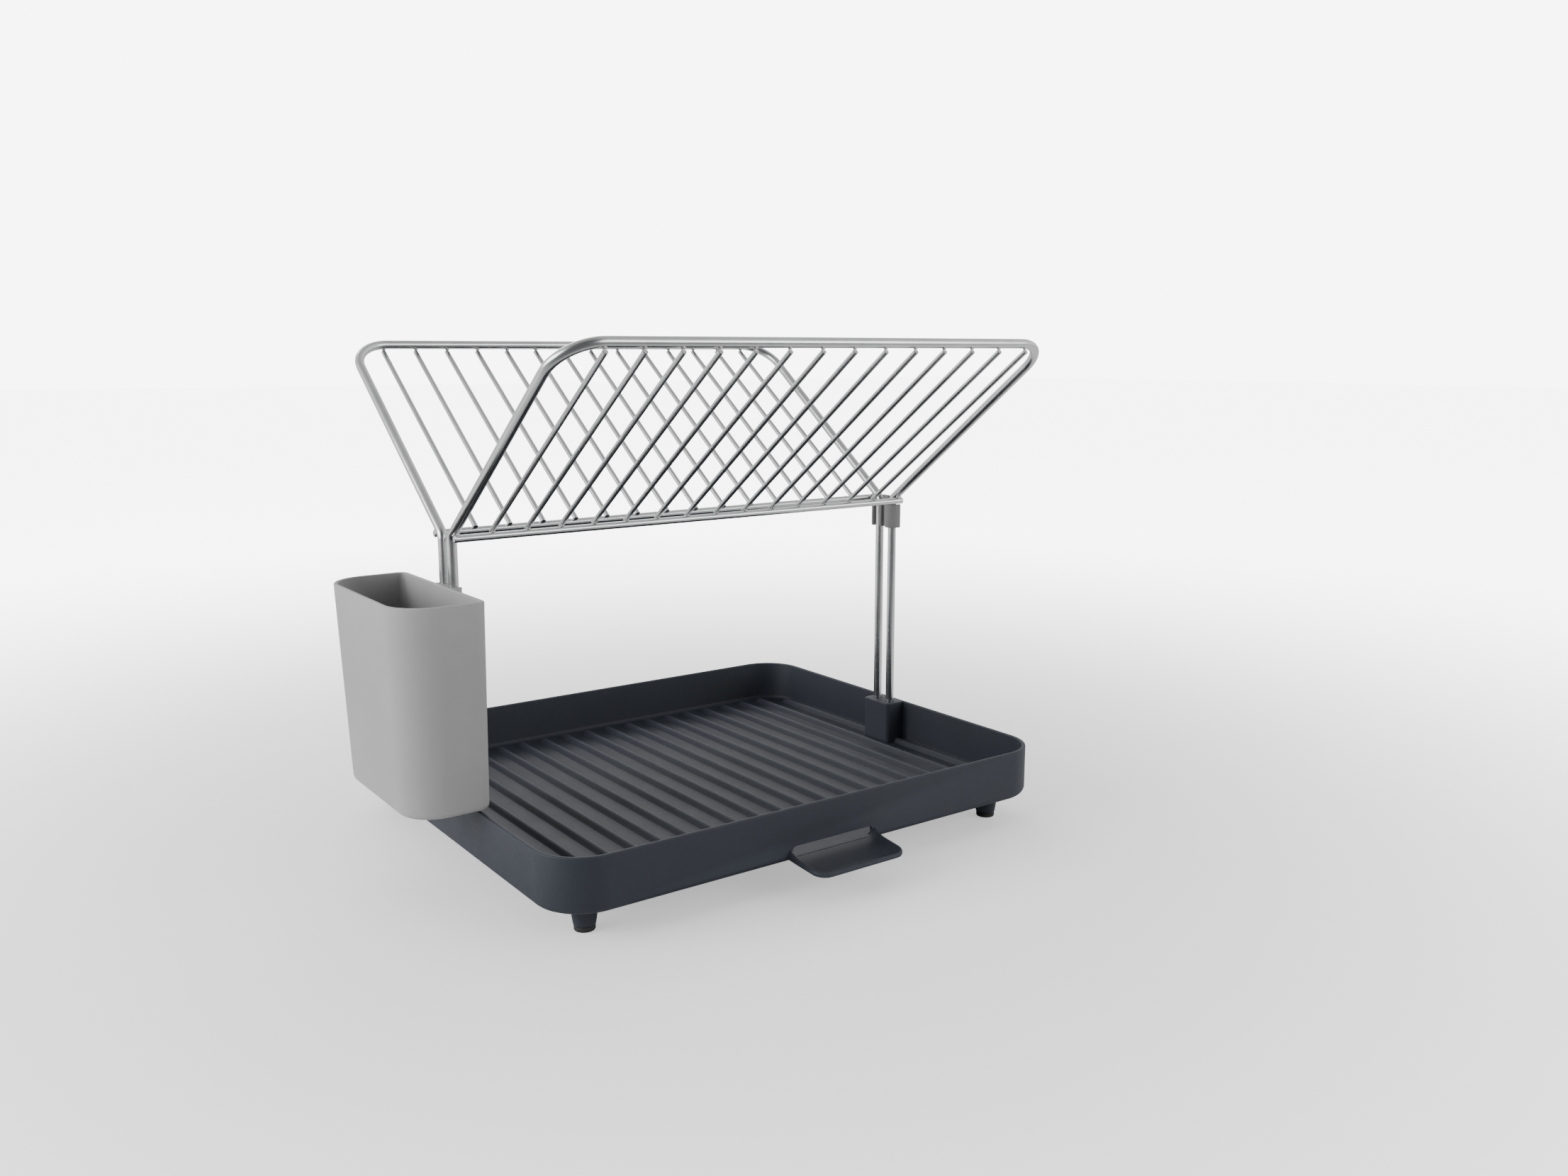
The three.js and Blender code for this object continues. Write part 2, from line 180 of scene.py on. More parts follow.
def moulded_plastic(name, dark, light, roughness, grain, edge_wear_and_highlight):
    """Matte moulded plastic: spark-eroded grain, a slow drift of tone, and sharp edges a little lighter,
    partly rubbed wear and partly a painted highlight.
    """
    material, tree, shader, node = new_material(name)
    place = node("ShaderNodeTexCoord").outputs["Object"]
    cloud = node("ShaderNodeTexNoise", Vector=place, Scale=14.0, Detail=4.0, Roughness=0.55)
    fine = node("ShaderNodeTexNoise", Vector=place, Scale=1500.0, Detail=3.0, Roughness=0.6)
    pores = node("ShaderNodeTexVoronoi", Vector=place, Scale=1100.0)
    smears = node("ShaderNodeTexNoise", Vector=place, Scale=45.0, Detail=6.0, Roughness=0.7, Distortion=0.6)
    tone = ramp(node, cloud.outputs["Fac"], [(0.3, dark), (0.7, light)])
    edges = node("ShaderNodeNewGeometry").outputs["Pointiness"]
    # Sharp convex edges painted lighter: partly rubbed wear, partly a painted highlight where a rounded edge
    # catches the light.
    worn_and_highlit_edges = ramp(node, edges, [(0.5, (0, 0, 0)), (0.56, (1, 1, 1))])
    tree.links.new(towards_tint(tree, worn_and_highlit_edges, tone, edge_wear_and_highlight), shader.inputs["Base Color"])
    matt = between(node, smears.outputs["Fac"], roughness - 0.07, roughness + 0.07)
    tree.links.new(matt, shader.inputs["Roughness"])
    shader.inputs["Specular IOR Level"].default_value = 0.24
    relief = combined(tree, "ADD", fine.outputs["Fac"], pores.outputs["Distance"])
    bump = node("ShaderNodeBump", Height=relief, Strength=grain, Distance=0.00006)
    tree.links.new(bump.outputs["Normal"], shader.inputs["Normal"])
    return material


def drawn_steel(name, along, roughness):
    """Polished drawn steel wire: faint draw lines along its length, and slow drifts of polish."""
    material, tree, shader, node = new_material(name)
    strip = node("ShaderNodeUVMap").outputs["UV"]
    stretched = node("ShaderNodeMapping", Vector=strip)
    stretched.inputs["Scale"].default_value = (along, 2600.0, 1.0)
    drawn = stretched.outputs["Vector"]
    lines = node("ShaderNodeTexNoise", Vector=drawn, Scale=1.0, Detail=4.0, Roughness=0.65)
    place = node("ShaderNodeTexCoord").outputs["Object"]
    cloud = node("ShaderNodeTexNoise", Vector=place, Scale=38.0, Detail=5.0, Roughness=0.6)
    specks = node("ShaderNodeTexNoise", Vector=place, Scale=900.0, Detail=2.0)
    tone = ramp(node, cloud.outputs["Fac"], [(0.3, (0.5, 0.505, 0.51)), (0.7, (0.6, 0.605, 0.61))])
    tree.links.new(tone, shader.inputs["Base Color"])
    shader.inputs["Metallic"].default_value = 1.0
    blend = combined(tree, "MULTIPLY", cloud.outputs["Fac"], lines.outputs["Fac"])
    polish = between(node, blend, roughness - 0.06, roughness + 0.2)
    tree.links.new(polish, shader.inputs["Roughness"])
    relief = combined(tree, "ADD", lines.outputs["Fac"], specks.outputs["Fac"])
    bump = node("ShaderNodeBump", Height=relief, Strength=0.12, Distance=0.00003)
    tree.links.new(bump.outputs["Normal"], shader.inputs["Normal"])
    return material


def heat_tinted_steel(name):
    """The skin of a small weld: duller and rougher than the wire, with a faint warm and grey tint."""
    material, tree, shader, node = new_material(name)
    place = node("ShaderNodeTexCoord").outputs["Object"]
    cloud = node("ShaderNodeTexNoise", Vector=place, Scale=420.0, Detail=4.0)
    tone = ramp(node, cloud.outputs["Fac"], [(0.35, (0.5, 0.49, 0.475)), (0.65, (0.68, 0.675, 0.67))])
    tree.links.new(tone, shader.inputs["Base Color"])
    shader.inputs["Metallic"].default_value = 1.0
    polish = between(node, cloud.outputs["Fac"], 0.3, 0.5)
    tree.links.new(polish, shader.inputs["Roughness"])
    bump = node("ShaderNodeBump", Height=cloud.outputs["Fac"], Strength=0.35, Distance=0.0001)
    tree.links.new(bump.outputs["Normal"], shader.inputs["Normal"])
    return material


# ---- Mesh makers ----


def add_loop(bm, points):
    """New vertices at the points."""
    return [bm.verts.new(p) for p in points]


def bridge(bm, first, second, closed=True):
    """A strip of quads between two rings of equal count."""
    count = len(first)
    for i in range(count if closed else count - 1):
        j = (i + 1) % count
        bm.faces.new((first[i], first[j], second[j], second[i]))


def loft(bm, rings, cap_start=True, cap_end=True):
    """A skin over a run of rings, with its ends closed unless told otherwise."""
    loops = [add_loop(bm, ring) for ring in rings]
    for first, second in zip(loops, loops[1:]):
        bridge(bm, first, second)
    if cap_start:
        bm.faces.new(reversed(loops[0]))
    if cap_end:
        bm.faces.new(loops[-1])
    return loops


def finish_mesh(bm, name, material, sharp_degrees=40):
    """The mesh as an object about the tray's middle, smooth except across edges sharper than the angle."""
    bmesh.ops.remove_doubles(bm, verts=bm.verts, dist=1e-7)
    bmesh.ops.recalc_face_normals(bm, faces=bm.faces)
    limit = math.radians(sharp_degrees)
    for face in bm.faces:
        face.smooth = True
    for edge in bm.edges:
        edge.smooth = edge.calc_face_angle(0) < limit
    mesh = bpy.data.meshes.new(name)
    bm.to_mesh(mesh)
    bm.free()
    mesh.materials.append(material)
    made = bpy.data.objects.new(name, mesh)
    bpy.context.scene.collection.objects.link(made)
    made.location = CENTRE
    return made


def settle(piece, body, slot, *nodes):
    """The piece rides on its body and stands for the CAD nodes; the slot is not used."""
    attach(piece, body)
    if nodes:
        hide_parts(*nodes)


def rounded_ring(low, high, radii, z, steps=10):
    """A rounded rectangle, anticlockwise from its low-Y side, with radii for low-X and for high-X corners."""
    left, right = radii
    corners = [
        (high.x - right, low.y + right, right, -90),
        (high.x - right, high.y - right, right, 0),
        (low.x + left, high.y - left, left, 90),
        (low.x + left, low.y + left, left, 180),
    ]
    ring = []
    for x, y, radius, start in corners:
        for k in range(steps + 1):
            angle = math.radians(start + 90 * k / steps)
            ring.append(Vector((x + radius * math.cos(angle), y + radius * math.sin(angle), z)))
    return ring


def quarter(steps):
    """The angles of a quarter turn, both ends included."""
    return [math.pi / 2 * k / steps for k in range(steps + 1)]


def cut(piece, cutter):
    """Cuts the cutter out of the piece for good."""
    modifier = piece.modifiers.new("cut", "BOOLEAN")
    modifier.operation = "DIFFERENCE"
    modifier.solver = "EXACT"
    modifier.object = cutter
    bpy.context.view_layer.update()
    graph = bpy.context.evaluated_depsgraph_get()
    result = bpy.data.meshes.new_from_object(piece.evaluated_get(graph))
    piece.modifiers.remove(modifier)
    piece.data = result
    bpy.data.objects.remove(cutter)


def lathe(bm, x, y, profile, sides=40):
    """A turned shape about an upright axis, from (radius, z) pairs that start and end on the axis."""
    rings = []
    for radius, z in profile[1:-1]:
        angles = [2 * math.pi * k / sides for k in range(sides)]
        rings.append([Vector((x + radius * math.cos(a), y + radius * math.sin(a), z)) for a in angles])
    loops = loft(bm, rings, cap_start=False, cap_end=False)
    for loop, (_, z), turned in ((loops[0], profile[0], True), (loops[-1], profile[-1], False)):
        tip = bm.verts.new((x, y, z))
        for i in range(sides):
            a, b = loop[i], loop[(i + 1) % sides]
            bm.faces.new((b, a, tip) if turned else (a, b, tip))


def prism(bm, outline, z0, z1, edge, arc=4):
    """An outline raised from z0 to z1 with rounded upper and lower edges."""
    count = len(outline)
    inward = []
    for i, point in enumerate(outline):
        before = (point - outline[i - 1]).normalized()
        after = (outline[(i + 1) % count] - point).normalized()
        along = (before + after).normalized()
        normal = Vector((-along.y, along.x))
        inward.append(normal / max(0.5, normal.dot(Vector((-before.y, before.x)))))
    rings = []
    for angle in quarter(arc):
        inset = edge * (1 - math.sin(angle))
        z = z0 + edge * (1 - math.cos(angle))
        rings.append([Vector((*(p + n * inset), z)) for p, n in zip(outline, inward)])
    for angle in quarter(arc):
        inset = edge * (1 - math.cos(angle))
        z = z1 - edge * (1 - math.sin(angle))
        rings.append([Vector((*(p + n * inset), z)) for p, n in zip(outline, inward)])
    loft(bm, rings)


def arc_points(x, y, radius, start, end, steps):
    """Points on an arc, from start to end degrees."""
    angles = [math.radians(start + (end - start) * k / steps) for k in range(steps + 1)]
    return [Vector((x + radius * math.cos(a), y + radius * math.sin(a))) for a in angles]


# ---- Rods ----


def bent_path(corners, radii, step_degrees=5):
    """Points along a line through the corners, each inner corner rounded to its radius."""
    path = [corners[0]]
    for i, radius in enumerate(radii, start=1):
        corner = corners[i]
        incoming = (corner - corners[i - 1]).normalized()
        outgoing = (corners[i + 1] - corner).normalized()
        turn = incoming.angle(outgoing)
        start = corner - incoming * radius * math.tan(turn / 2)
        axis = incoming.cross(outgoing).normalized()
        middle = start + axis.cross(incoming) * radius
        steps = math.ceil(math.degrees(turn) / step_degrees)
        for k in range(steps + 1):
            spin = Matrix.Rotation(turn * k / steps, 3, axis)
            path.append(middle + spin @ (start - middle))
    path.append(corners[-1])
    return path


def rod(bm, path, radius, sides, chamfer):
    """A round rod along a path, with its ends chamfered, and UVs in metres along and around it."""
    uv = bm.loops.layers.uv.verify()
    stations = [(path[0], 0.0, radius - chamfer)]
    start = (path[1] - path[0]).normalized()
    stations.append((path[0] + start * chamfer, chamfer, radius))
    run = 0.0
    for before, point in zip(path, path[1:-1]):
        run += (point - before).length
        stations.append((point, run, radius))
    run += (path[-1] - path[-2]).length
    end = (path[-1] - path[-2]).normalized()
    stations.append((path[-1] - end * chamfer, run - chamfer, radius))
    stations.append((path[-1], run, radius - chamfer))
    tangent = start
    side = tangent.orthogonal().normalized()
    loops = []
    for i, (point, _, size) in enumerate(stations):
        before = stations[max(i - 1, 0)][0]
        after = stations[min(i + 1, len(stations) - 1)][0]
        ahead = (after - before).normalized()
        side = (side - ahead * side.dot(ahead)).normalized()
        across = ahead.cross(side)
        angles = [2 * math.pi * k / sides for k in range(sides)]
        spokes = [side * math.cos(a) + across * math.sin(a) for a in angles]
        loops.append(add_loop(bm, [point + spoke * size for spoke in spokes]))
    girth = 2 * math.pi * radius
    for i, (first, second) in enumerate(zip(loops, loops[1:])):
        for k in range(sides):
            j = (k + 1) % sides
            face = bm.faces.new((first[k], first[j], second[j], second[k]))
            corners = [(i, k), (i, k + 1), (i + 1, k + 1), (i + 1, k)]
            for loop, (station, turn) in zip(face.loops, corners):
                loop[uv].uv = (stations[station][1], girth * turn / sides)
    bm.faces.new(reversed(loops[0]))
    bm.faces.new(loops[-1])


def blob(bm, place, along, up, sizes):
    """A smooth flattened bead at a weld: half-sizes along, across and up."""
    across = up.cross(along).normalized()
    turn = Matrix((along * sizes[0], across * sizes[1], up * sizes[2])).transposed().to_4x4()
    bmesh.ops.create_icosphere(bm, subdivisions=3, radius=1, matrix=Matrix.Translation(place) @ turn)


# ---- Drip tray ----


def tray_ring(inset, z):
    """The tray's outline, drawn in by the inset."""
    corner = Vector((TRAY_HALF_LENGTH - inset, TRAY_HALF_WIDTH - inset))
    radius = TRAY_CORNER - inset
    return rounded_ring(-corner, corner, (radius, radius), z, steps=18)


def tray_shell(bm):
    """The tray's dish: underside, rounded bottom edge, wall, rounded rim, inner wall and floor."""
    edge, rim, cove = 5 * MM, 0.9 * MM, 3 * MM
    rings = [tray_ring(edge + 8 * MM, TRAY_UNDERSIDE)]
    for angle in quarter(8):
        rings.append(tray_ring(edge * (1 - math.sin(angle)), TRAY_UNDERSIDE + edge * (1 - math.cos(angle))))
    for angle in quarter(4):
        rings.append(tray_ring(rim * (1 - math.cos(angle)), RIM_TOP - rim * (1 - math.sin(angle))))
    for angle in quarter(4):
        inset = TRAY_WALL - rim * (1 - math.sin(angle))
        rings.append(tray_ring(inset, RIM_TOP - rim * (1 - math.cos(angle))))
    for angle in quarter(6):
        inset = TRAY_WALL + cove * (1 - math.cos(angle))
        rings.append(tray_ring(inset, FLOOR_TOP + cove * (1 - math.sin(angle))))
    loft(bm, rings)


def tray_ridge(bm, x):
    """One rounded ridge along Y, with sunk sides and ends that taper into the floor."""
    across = 12
    inner_corner = TRAY_CORNER - TRAY_WALL
    past_corner = max(0, abs(x) + RIDGE_HALF_WIDTH - (TRAY_HALF_LENGTH - TRAY_CORNER))
    rounding = inner_corner - math.sqrt(inner_corner**2 - past_corner**2)
    start = -TRAY_HALF_WIDTH + TRAY_WALL + GUTTER + rounding
    end = TRAY_HALF_WIDTH - TRAY_WALL - RIDGE_MARGIN - rounding
    steps = [RIDGE_TAPER * k / 6 for k in range(7)]
    stations = [start + s for s in steps] + [end - s for s in reversed(steps)]
    rows = []
    for y in stations:
        rise = min(1, (y - start) / RIDGE_TAPER, (end - y) / RIDGE_TAPER)
        height = RIDGE_HEIGHT * math.sin(max(0, rise) * math.pi / 2) ** 0.8
        row = []
        for k in range(across + 1):
            share = 2 * k / across - 1
            crest = math.cos(share * math.pi / 2) ** 1.35
            z = FLOOR_TOP - 0.15 * MM + height * crest
            row.append(Vector((x + share * RIDGE_HALF_WIDTH, y, z)))
        rows.append(add_loop(bm, row))
    for first, second in zip(rows, rows[1:]):
        bridge(bm, first, second, closed=False)


def tray_foot(bm, x, y):
    """A tapered foot with a soft root under the tray and a rounded tip over the pad."""
    tip = FOOT_TIP
    profile = [(0, tip), (5.9 * MM, tip), (6.25 * MM, tip + 0.15 * MM), (6.45 * MM, tip + 0.6 * MM)]
    profile += [(8.35 * MM, TRAY_UNDERSIDE - 1.5 * MM), (8.75 * MM, TRAY_UNDERSIDE - 0.5 * MM)]
    profile += [(9.7 * MM, TRAY_UNDERSIDE + 0.1 * MM), (0, TRAY_UNDERSIDE + 0.1 * MM)]
    lathe(bm, x, y, profile)


def spout_path(inset, z_at):
    """The spout's outline from its left end at the wall, round its front, to its right end."""
    half = SPOUT_HALF - inset
    radius = SPOUT_CORNER - inset
    root = -TRAY_HALF_WIDTH + 1.3 * MM
    tip = -TRAY_HALF_WIDTH - SPOUT_REACH + inset
    sides = [root + (tip + radius - root) * k / 12 for k in range(12)]
    flat = [Vector((-half, y)) for y in sides]
    flat += arc_points(-half + radius, tip + radius, radius, 180, 270, 12)
    flat += [Vector((half - radius - (half - radius) * 2 * k / 8, tip)) for k in range(7, 0, -1)]
    flat += arc_points(half - radius, tip + radius, radius, 270, 360, 12)
    flat += [Vector((half, y)) for y in reversed(sides)]
    return [Vector((p.x, p.y, z_at(p.y))) for p in flat]


def spout(bm):
    """A shallow scoop that falls forwards, with a rounded rim that climbs to the mouth at the wall."""

    def share(y):
        return max(0, (-TRAY_HALF_WIDTH - y) / SPOUT_REACH)

    def floor(y):
        return FLOOR_TOP - 0.1 * MM - 1.7 * MM * share(y)

    def rim(y):
        climb = max(0, 1 - share(y) / 0.3) ** 2
        return FLOOR_TOP + 2.6 * MM - 3.2 * MM * share(y) + 2.6 * MM * climb

    def under(y):
        return FLOOR_TOP - 1.9 * MM - 1.8 * MM * share(y)

    def level(low, high, part):
        return lambda y: low(y) + (high(y) - low(y)) * part

    paths = [spout_path(3 * MM, under), spout_path(1.1 * MM, level(under, rim, 0.06))]
    paths += [spout_path(0.35 * MM, level(under, rim, 0.22)), spout_path(0.12 * MM, level(under, rim, 0.45))]
    paths += [spout_path(0.2 * MM, level(under, rim, 0.75)), spout_path(0.65 * MM, level(under, rim, 0.95))]
    paths += [spout_path(1.2 * MM, rim), spout_path(1.7 * MM, level(floor, rim, 0.93))]
    paths += [spout_path(2.3 * MM, level(floor, rim, 0.66)), spout_path(3.1 * MM, level(floor, rim, 0.32))]
    paths += [spout_path(4.4 * MM, level(floor, rim, 0.1)), spout_path(6.4 * MM, floor)]
    loops = [add_loop(bm, path) for path in paths]
    for first, second in zip(loops, loops[1:]):
        bridge(bm, first, second, closed=False)
    for loop in (loops[0], loops[-1]):
        for i in range(len(loop) // 2 - 1):
            quad = (loop[i], loop[i + 1], loop[-i - 2], loop[-i - 1])
            bm.faces.new(quad if len(set(quad)) == 4 else quad[:3])


def leg_sockets(bm):
    """The blocks at the middle of the end walls that the legs stand in."""
    for side in (-1, 1):
        ends = sorted((side * SOCKET_INNER, side * SOCKET_OUTER))
        low = Vector((ends[0], -SOCKET_HALF_WIDTH))
        high = Vector((ends[1], SOCKET_HALF_WIDTH))
        radii = (SOCKET_CORNER, 0.5 * MM) if side > 0 else (0.5 * MM, SOCKET_CORNER)
        rings = [rounded_ring(low, high, radii, FLOOR_TOP - 0.5 * MM)]
        rim = 0.9 * MM
        for angle in quarter(4):
            inset = min(rim, 0.45 * MM) * (1 - math.cos(angle))
            step = Vector((inset, inset))
            trimmed = tuple(r - inset for r in radii)
            z = RIM_TOP - rim * (1 - math.sin(angle))
            rings.append(rounded_ring(low + step, high - step, trimmed, z))
        loft(bm, rings)


def drill(piece, x, y, radius, z0, z1):
    """Drills a round upright hole."""
    bm = bmesh.new()
    middle = Matrix.Translation((x, y, (z0 + z1) / 2))
    bmesh.ops.create_cone(
        bm, cap_ends=True, segments=40, radius1=radius, radius2=radius, depth=z1 - z0, matrix=middle
    )
    cut(piece, finish_mesh(bm, "drill", plastics["tray"]))


def build_tray():
    """The tray with its drain mouth, spout, ridges, feet and leg sockets, as one piece."""
    bm = bmesh.new()
    tray_shell(bm)
    dish = finish_mesh(bm, "tray_dish", plastics["tray"])
    bm = bmesh.new()
    outline = [Vector((-MOUTH_HALF, FLOOR_TOP + 0.05 * MM)), Vector((MOUTH_HALF, FLOOR_TOP + 0.05 * MM))]
    high = MOUTH_TOP - MOUTH_CORNER
    outline += arc_points(MOUTH_HALF - MOUTH_CORNER, high, MOUTH_CORNER, 0, 90, 8)
    outline += arc_points(-MOUTH_HALF + MOUTH_CORNER, high, MOUTH_CORNER, 90, 180, 8)
    depths = (-TRAY_HALF_WIDTH - 4 * MM, -TRAY_HALF_WIDTH + 6 * MM)
    loft(bm, [[Vector((p.x, y, p.y)) for p in outline] for y in depths])
    cut(dish, finish_mesh(bm, "mouth", plastics["tray"]))

    bm = bmesh.new()
    leg_sockets(bm)
    sockets = finish_mesh(bm, "tray_sockets", plastics["tray"])
    for x in (-LEG_X, LEG_X):
        for y in (-LEG_Y, LEG_Y):
            drill(sockets, x, y, BAR_RADIUS + SEAT_GAP, FLOOR_TOP + SOCKET_FLOOR, RIM_TOP + 5 * MM)

    bm = bmesh.new()
    for i in range(RIDGE_COUNT):
        tray_ridge(bm, (i - (RIDGE_COUNT - 1) / 2) * RIDGE_PITCH)
    for x in (-FOOT_PLACE.x, FOOT_PLACE.x):
        for y in (-FOOT_PLACE.y, FOOT_PLACE.y):
            tray_foot(bm, x, y)
    spout(bm)
    details = finish_mesh(bm, "tray_details", plastics["tray"])

    join("drip_tray_moulding", [dish, sockets, details], "tray", "tray_plastic", "drip_tray")


def join(name, parts, body, slot, *nodes):
    """Several finished meshes as one piece."""
    bm = bmesh.new()
    for part in parts:
        bm.from_mesh(part.data)
    material = parts[0].data.materials[0]
    for part in parts:
        bpy.data.objects.remove(part)
    settle(finish_mesh(bm, name, material), body, slot, *nodes)


def build_pads():
    """The four rubber pads, each with a stem up into its foot."""
    for node in ("foot_pad_front_left", "foot_pad_front_right", "foot_pad_rear_left", "foot_pad_rear_right"):
        low, high = local_box(node)
        x, y = (low.x + high.x) / 2, (low.y + high.y) / 2
        profile = [(0, 0.35 * MM), (3.4 * MM, 0.35 * MM), (3.7 * MM, 0), (5.2 * MM, 0), (5.8 * MM, 0.2 * MM)]
        profile += [(6.05 * MM, 0.7 * MM), (6.08 * MM, 2.4 * MM), (5.8 * MM, 3 * MM), (2.6 * MM, 3 * MM)]
        profile += [(2.6 * MM, 7.6 * MM), (2.2 * MM, 8 * MM), (0, 8 * MM)]
        bm = bmesh.new()
        lathe(bm, x, y, profile)
        settle(finish_mesh(bm, node + "_rubber", plastics["rubber"]), "tray", "pad_rubber", node)


# ---- Wings ----


def build_wing(wing, turn):
    """One wing: turn is 1 for the front one, and -1 for the rear one, which is the same turned half round."""
    body = wing + "_wing"
    low, high = local_box(wing + "_wing_bar")
    top_z = high.z - BAR_RADIUS
    top_y = max(abs(low.y), abs(high.y)) - BAR_RADIUS
    rail_low, rail_high = local_box(wing + "_bottom_rail")
    rail_y = abs(rail_low.y + rail_high.y) / 2
    rail_z = (rail_low.z + rail_high.z) / 2
    wire_low, wire_high = local_box(wing + "_wire_01")

    def at(x, y, z):
        return Vector((x * turn, -y * turn, z))

    corners = [
        at(-LEG_X, LEG_Y, low.z),
        at(-LEG_X, LEG_Y, JUNCTION_HEIGHT),
        at(-LEG_X, top_y, top_z),
        at(LEG_X, top_y, top_z),
        at(LEG_X, LEG_Y, JUNCTION_HEIGHT),
        at(LEG_X, LEG_Y, low.z),
    ]
    bm = bmesh.new()
    bends = [JUNCTION_BEND, SHOULDER_BEND, SHOULDER_BEND, JUNCTION_BEND]
    rod(bm, bent_path(corners, bends), BAR_RADIUS, 32, 0.5 * MM)
    settle(finish_mesh(bm, body + "_rod", steels["bar"]), body, "steel", wing + "_wing_bar")

    reach = (rail_high.x - rail_low.x) / 2
    bm = bmesh.new()
    rod(bm, [at(x, rail_y, rail_z) for x in (-reach, 0, reach)], RAIL_RADIUS, 28, 0.5 * MM)
    settle(finish_mesh(bm, wing + "_lower_rail", steels["bar"]), body, "steel", wing + "_bottom_rail")

    arm = Vector((top_y - LEG_Y, top_z - JUNCTION_HEIGHT)).normalized()
    half_span = Vector((arm.y, arm.x)) * WIRE_RADIUS
    near = min(abs(wire_low.y), abs(wire_high.y)) + half_span.x
    far = max(abs(wire_low.y), abs(wire_high.y)) - half_span.x
    foot_z, head_z = wire_low.z + half_span.y, wire_high.z - half_span.y
    along = at(0, arm.x, arm.y)
    up = at(0, -arm.y, arm.x)
    beads = bmesh.new()
    for i in range(WIRE_COUNT):
        x = (i - (WIRE_COUNT - 1) / 2) * WIRE_PITCH
        number = f"{i + 1:02d}"
        foot, head = at(x, near, foot_z), at(x, far, head_z)
        bm = bmesh.new()
        rod(bm, [foot, (foot + head) / 2, head], WIRE_RADIUS, 20, 0.22 * MM)
        name = f"{wing}_wire_{number}"
        settle(finish_mesh(bm, name + "_rod", steels["wire"]), body, "steel", name)
        rail_top = at(x, rail_y, rail_z) + up * (RAIL_RADIUS + 0.15 * MM)
        blob(beads, rail_top, along, up, (1.1 * MM, 1.5 * MM, 0.55 * MM))
        under_top = head + along * 0.4 * MM + up * (WIRE_RADIUS + 0.1 * MM)
        blob(beads, under_top, along, up, (1.1 * MM, 1.5 * MM, 0.55 * MM))
    gap = Vector((arm.y, -arm.x)) * (RAIL_RADIUS + 0.15 * MM)
    for side in (-1, 1):
        place = at(side * LEG_X, rail_y - gap.x, rail_z - gap.y)
        blob(beads, place, at(1, 0, 0), up, (2.6 * MM, 1.7 * MM, 0.9 * MM))
    settle(finish_mesh(beads, wing + "_weld_beads", steels["weld"]), body, "steel")


# ---- Leg clip ----


def sleeve_outline():
    """One sleeve of the clip seen from above, about its leg's axis: a C of even wall, open towards +X."""
    bore = BAR_RADIUS + SEAT_GAP
    outer = bore + CLIP_WALL
    lip = CLIP_WALL / 2
    tip = CLIP_LAP - lip
    rear = arc_points(tip, bore + lip, lip, 270, 450, 8)
    front = arc_points(tip, -bore - lip, lip, 270, 450, 8)
    return [*arc_points(0, 0, outer, 90, 270, 28), *front, *arc_points(0, 0, bore, 270, 90, 24), *rear]


def build_clip():
    """The clip: two C sleeves that open to opposite sides, and the taller web between them."""
    low, high = local_box("leg_clip")
    middle = Vector(((low.x + high.x) / 2, (low.y + high.y) / 2))
    bm = bmesh.new()
    for turn in (1, -1):
        outline = [middle + turn * (p + Vector((0, -LEG_Y))) for p in sleeve_outline()]
        prism(bm, outline, low.z, low.z + CLIP_SLEEVE_HEIGHT, 0.5 * MM)
    corner = Vector((CLIP_WALL / 2, CLIP_WEB_HALF))

    def web_ring(inset, z):
        step = corner - Vector((1, 1)) * inset
        radius = CLIP_WEB_CORNER - inset
        return rounded_ring(middle - step, middle + step, (radius, radius), z)

    crown = CLIP_WEB_CROWN
    rings = []
    for angle in quarter(5):
        rings.append(web_ring(crown * (1 - math.sin(angle)), low.z + crown * (1 - math.cos(angle))))
    for angle in quarter(5):
        rings.append(web_ring(crown * (1 - math.cos(angle)), high.z - crown * (1 - math.sin(angle))))
    loft(bm, rings)
    settle(finish_mesh(bm, "leg_clip_moulding", plastics["clip"]), "leg_clip", "clip_plastic", "leg_clip")


# ---- Cutlery holder ----


